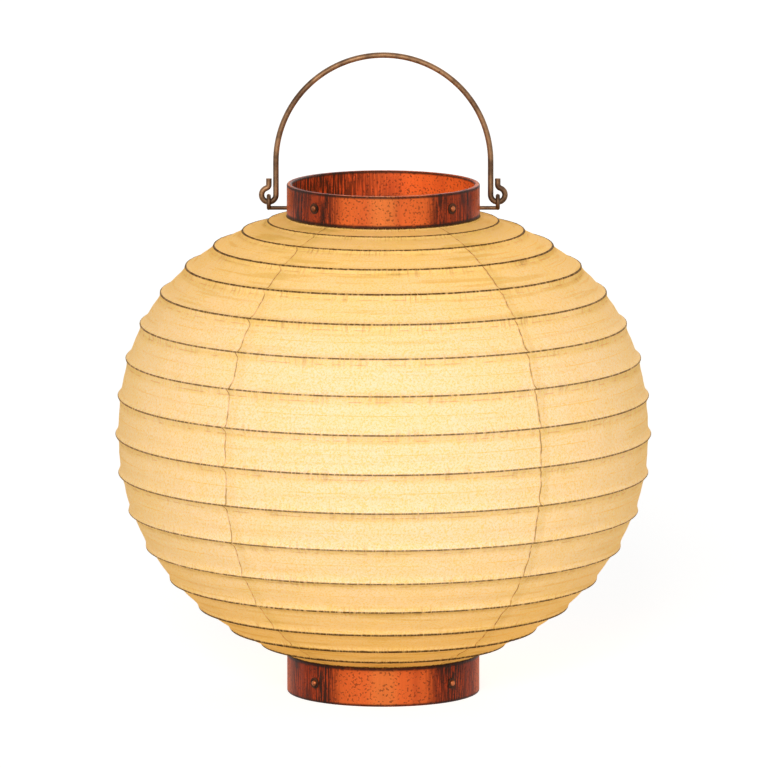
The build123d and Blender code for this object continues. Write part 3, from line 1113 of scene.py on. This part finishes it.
@dataclass
class Studio:
    """Pale floor, soft lamps and a long-lens camera a little above the lantern."""

    distance: float = 8.0
    elevation: float = 8.8
    frame_width: float = 0.43415
    target: tuple[float, float, float] = (0.0004, 0.0, 0.1758)
    sensor: float = 36.0
    floor_size: float = 60.0
    floor_colour: Colour = (0.50, 0.50, 0.495)
    floor_lift: float = 0.825
    world_light: float = 0.12
    clip: tuple[float, float] = (0.1, 200.0)
    lamps: tuple[Lamp, ...] = (
        Lamp("key_lamp", (-0.45, -3.9, 1.6), 1.2, 106.0, (1.0, 0.985, 0.95)),
        Lamp("fill_lamp", (2.6, -2.4, 1.0), 2.4, 11.0, (1.0, 0.96, 0.90)),
        Lamp("back_lamp", (0.9, 3.2, 2.0), 2.4, 36.0, (1.0, 0.98, 0.95)),
    )

    def build(self) -> None:
        """Build the floor, world, lamps and camera."""
        self._floor()
        self._world()
        for lamp in self.lamps:
            self._light(lamp)
        self._camera()

    def _seen(self, graph: Graph) -> Socket:
        """Give 1 to rays that come from the camera or show a reflection, and 0 to others."""
        rays = graph.node("ShaderNodeLightPath")
        seen = graph.math("MAXIMUM", rays.outputs["Is Camera Ray"], rays.outputs["Is Glossy Ray"])
        return graph.math("MAXIMUM", seen, rays.outputs["Is Transmission Ray"])

    def _floor(self) -> None:
        """Add the floor, which is white to the camera and keeps the object's shadow."""
        deselect_all()
        bpy.ops.mesh.primitive_plane_add(size=self.floor_size, location=(0, 0, 0))
        floor = bpy.context.object
        floor.name = "studio_floor"
        material = bpy.data.materials.new("pale_floor")
        material.use_nodes = True
        graph = Graph(material.node_tree)
        matte = graph.node("ShaderNodeBsdfDiffuse")
        graph.feed(matte.inputs["Color"], self.floor_colour)
        lift = graph.node("ShaderNodeEmission")
        graph.feed(lift.inputs["Color"], WHITE)
        graph.feed(lift.inputs["Strength"], graph.times(self._seen(graph), self.floor_lift))
        both = graph.node("ShaderNodeAddShader")
        graph.feed(both.inputs[0], matte.outputs[0])
        graph.feed(both.inputs[1], lift.outputs[0])
        output = graph.node("ShaderNodeOutputMaterial")
        graph.feed(output.inputs["Surface"], both.outputs[0])
        floor.data.materials.append(material)

    def _world(self) -> None:
        """Light the scene evenly, with a white background where the camera looks past the floor."""
        world = bpy.data.worlds.new("studio_world")
        bpy.context.scene.world = world
        world.use_nodes = True
        graph = Graph(world.node_tree)
        backdrop = graph.times(self._seen(graph), 1.0 - self.world_light)
        light = graph.node("ShaderNodeBackground")
        graph.feed(light.inputs["Color"], WHITE)
        graph.feed(light.inputs["Strength"], graph.plus(self.world_light, backdrop))
        output = graph.node("ShaderNodeOutputWorld")
        graph.feed(output.inputs["Surface"], light.outputs[0])

    def _light(self, lamp: Lamp) -> None:
        """Add a lamp and turn it to the lantern."""
        data = bpy.data.lights.new(lamp.name, "AREA")
        data.size = lamp.size
        data.energy = lamp.power
        data.color = lamp.colour
        light = bpy.data.objects.new(lamp.name, data)
        bpy.context.collection.objects.link(light)
        light.location = lamp.at
        aim = Vector(self.target) - Vector(lamp.at)
        light.rotation_euler = aim.to_track_quat("-Z", "Y").to_euler()
        light.visible_camera = False

    def _camera(self) -> None:
        """Add the camera at its elevation and distance, aimed at the target."""
        rise = math.radians(self.elevation)
        back = Vector((0, -math.cos(rise), math.sin(rise)))
        data = bpy.data.cameras.new("studio_camera")
        data.sensor_width = self.sensor
        data.lens = self.sensor * self.distance / self.frame_width
        data.clip_start, data.clip_end = self.clip
        camera = bpy.data.objects.new("studio_camera", data)
        bpy.context.collection.objects.link(camera)
        camera.location = Vector(self.target) + back * self.distance
        camera.rotation_euler = (-back).to_track_quat("-Z", "Y").to_euler()
        bpy.context.scene.camera = camera
        bpy.context.scene.view_settings.view_transform = "Standard"


# --- Assembly ---


def dress_frame(groups: SharedGroups) -> None:
    """Give every CAD node that stays in view its finish.

    Args:
        groups: The shared node groups.
    """
    for collar in ("upper_collar", "lower_collar"):
        low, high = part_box(collar)
        lacquer = LacquerFinish(foot=low.z, rim=high.z)
        dress([collar], lacquer.build(groups, f"{collar}_lacquer"))
    fine, cross = (900.0, 900.0, 200.0), (300.0, 300.0, 900.0)
    bamboo = GrainFinish("split_bamboo", (0.60, 0.42, 0.20), (0.34, 0.21, 0.09), cross)
    bronze = MetalFinish(
        "aged_bronze_wire", (0.27, 0.145, 0.072), (0.09, 0.047, 0.025), grain=260.0
    )
    brass = MetalFinish(
        "dark_nail_brass", (0.55, 0.16, 0.055), (0.20, 0.06, 0.022), roughness=0.36
    )
    black = MetalFinish(
        "blackened_washers", (0.10, 0.035, 0.015), (0.03, 0.014, 0.008), roughness=0.5
    )
    board = GrainFinish("oiled_softwood", (0.55, 0.36, 0.19), (0.33, 0.19, 0.09))
    tin = MetalFinish("dull_tinplate", (0.55, 0.53, 0.50), (0.28, 0.26, 0.24), roughness=0.35)
    iron = MetalFinish("black_iron", (0.11, 0.10, 0.09), (0.05, 0.045, 0.04), roughness=0.5)
    wax = GrainFinish(
        "plant_wax", (0.90, 0.84, 0.70), (0.84, 0.74, 0.55), (90.0, 90.0, 40.0), 0.42, 0.0001, 0.35
    )
    wick = GrainFinish("rush_wick", (0.62, 0.54, 0.40), (0.30, 0.23, 0.14), fine, 0.9)
    hoops = [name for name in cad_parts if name.startswith("hoop_")]
    finishes = (
        (bamboo, [*hoops, "upper_mouth_hoop", "lower_mouth_hoop"]),
        (bronze, ["bail", "bail_eye_left", "bail_eye_right"]),
        (brass, ["floor_nails", "upper_collar_tacks"]),
        (black, ["floor_nail_washers", "upper_tack_washers"]),
        (board, ["floor_board"]),
        (tin, ["drip_pan"]),
        (iron, ["candle_spike"]),
        (wax, ["candle"]),
        (wick, ["candle_wick"]),
    )
    for finish, nodes in finishes:
        dress(nodes, finish.build(groups))


def main() -> None:
    """Build the lantern's pieces and the studio round the frame."""
    logging.basicConfig(level=logging.INFO, format="%(name)s %(message)s")
    groups = SharedGroups(build_wrap_group(), build_speckle_group(), build_band_group())
    Studio().build()
    dress_frame(groups)
    globe = PaperGlobe()
    globe.build(WashiFinish().build(groups))
    stretch = (600.0, 600.0, 900.0)
    thread = GrainFinish("waxed_thread", (0.62, 0.50, 0.33), (0.40, 0.29, 0.16), stretch, 0.7)
    SpacingThreads().build(globe, thread.build(groups))


if __name__ == "__main__":
    main()
